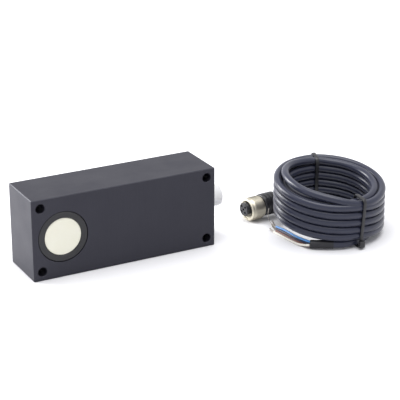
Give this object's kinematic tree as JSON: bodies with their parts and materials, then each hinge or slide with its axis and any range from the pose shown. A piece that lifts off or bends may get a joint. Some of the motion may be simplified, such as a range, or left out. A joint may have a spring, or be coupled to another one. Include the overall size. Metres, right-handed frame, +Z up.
{
  "type": "ultrasonic distance sensor",
  "caption": "Oblong block-shaped ultrasonic distance sensor with a round transducer in its front face, a capped round connector on its end and an unplugged coiled cordset.",
  "frame": {"origin": "centre of the housing's underside, on the surface it stands on", "axes": "+X along the housing towards the connector, -Y is where the transducer looks, +Z up"},
  "size_m": [0.2268, 0.0833, 0.05],
  "materials": {
    "housing": "black anodised, satin",
    "rear_cover": "black anodised, satin",
    "cover_gasket": "matte",
    "cover_screws": "stainless steel",
    "transducer_cup": "moulded, matte",
    "matching_layer": "glass-bead filled epoxy, matte",
    "piezo_disc": "silvered ceramic",
    "backing_foam": "foam",
    "transducer_o_ring": "matte",
    "retaining_ring": "turned",
    "transducer_leads": "insulated wire",
    "circuit_board": "glass epoxy, solder resist",
    "board_spacers": "turned",
    "board_screws": "zinc plated",
    "pulse_transformer": "ferrite",
    "storage_capacitors": "sleeved can",
    "amplifier_chips": "moulded",
    "microcontroller": "moulded",
    "voltage_regulator": "moulded",
    "lead_header": "moulded",
    "connector_shell": "nickel plated",
    "connector_insert": "moulded",
    "connector_pins": "gold plated",
    "connector_o_ring": "matte",
    "connector_leads": "insulated wire",
    "dust_cap": "translucent polyethylene",
    "plug_insert": "moulded",
    "plug_contacts": "gold plated",
    "plug_o_ring": "matte",
    "coupling_nut": "knurled, nickel plated",
    "plug_body": "moulded elastomer",
    "strain_relief": "moulded elastomer",
    "cable_lead": "extruded jacket",
    "cable_coil": "extruded jacket",
    "cable_tail": "extruded jacket",
    "end_sleeve": "heat-shrink",
    "core_blue": "extruded",
    "core_brown": "extruded",
    "core_white": "extruded",
    "core_black": "extruded",
    "core_grey": "extruded",
    "core_tips": "tinned copper",
    "cable_tie_front": "moulded nylon",
    "cable_tie_rear": "moulded nylon"
  },
  "bodies": {
    "sensor": {"housing": "housing", "rear_cover": "rear_cover", "cover_gasket": "cover_gasket", "cover_screws": "cover_screws", "transducer_cup": "transducer_cup", "matching_layer": "matching_layer", "piezo_disc": "piezo_disc", "backing_foam": "backing_foam", "transducer_o_ring": "transducer_o_ring", "retaining_ring": "retaining_ring", "transducer_leads": "transducer_leads", "circuit_board": "circuit_board", "board_spacers": "board_spacers", "board_screws": "board_screws", "pulse_transformer": "pulse_transformer", "storage_capacitors": "storage_capacitors", "amplifier_chips": "amplifier_chips", "microcontroller": "microcontroller", "voltage_regulator": "voltage_regulator", "lead_header": "lead_header", "connector_shell": "connector_shell", "connector_insert": "connector_insert", "connector_pins": "connector_pins", "connector_o_ring": "connector_o_ring", "connector_leads": "connector_leads"},
    "cap": {"dust_cap": "dust_cap"},
    "cordset": {"plug_insert": "plug_insert", "plug_contacts": "plug_contacts", "plug_o_ring": "plug_o_ring", "plug_body": "plug_body", "strain_relief": "strain_relief", "cable_lead": "cable_lead", "cable_coil": "cable_coil", "cable_tail": "cable_tail", "end_sleeve": "end_sleeve", "core_blue": "core_blue", "core_brown": "core_brown", "core_white": "core_white", "core_black": "core_black", "core_grey": "core_grey", "core_tips": "core_tips", "cable_tie_front": "cable_tie_front", "cable_tie_rear": "cable_tie_rear"},
    "nut": {"coupling_nut": "coupling_nut"}
  },
  "joints": [
    {"name": "cap_pull", "type": "slide", "parent": "sensor", "child": "cap", "axis": [1, 0, 0], "range_m": [0, 0.015]},
    {"name": "cordset_lift", "type": "slide", "parent": "sensor", "child": "cordset", "axis": [0, 0, 1], "range_m": [0, 0.1]},
    {"name": "nut_spin", "type": "hinge", "parent": "cordset", "child": "nut", "pos_m": [0.10042, 0.00722, 0.00765], "axis": [0.9959, 0.0906, 0], "continuous": true}
  ]
}
